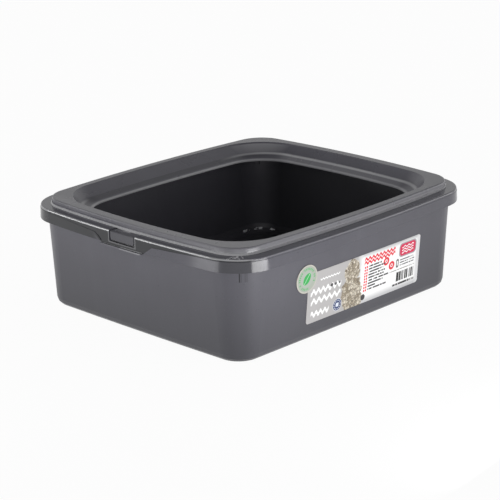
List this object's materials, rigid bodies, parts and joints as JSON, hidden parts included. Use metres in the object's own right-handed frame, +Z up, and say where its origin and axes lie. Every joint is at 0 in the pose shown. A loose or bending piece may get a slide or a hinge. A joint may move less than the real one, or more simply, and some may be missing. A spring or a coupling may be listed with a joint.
{
  "type": "litter tray",
  "caption": "Deep tapered litter tray with a broad ledge and skirt, and a lift-off rim frame that narrows its mouth; paper label and round sticker on one long side.",
  "frame": {"origin": "centre of the footprint, on the surface the tray stands on", "axes": "+Z up, X along the long sides, -Y towards the long side that carries the label"},
  "size_m": [0.4048, 0.353, 0.1278],
  "materials": {
    "tray_plastic": "satin recycled plastic",
    "frame_plastic": "satin recycled plastic",
    "label_paper": "printed paper label",
    "sticker_paper": "printed paper sticker"
  },
  "bodies": {
    "tray_body": {"tray": "tray_plastic", "front_label": "label_paper", "round_sticker": "sticker_paper"},
    "frame_body": {"rim_frame": "frame_plastic"}
  },
  "joints": [
    {"name": "frame_lift", "type": "slide", "parent": "tray_body", "child": "frame_body", "axis": [0, 0, 1], "range_m": [0, 0.08]}
  ]
}
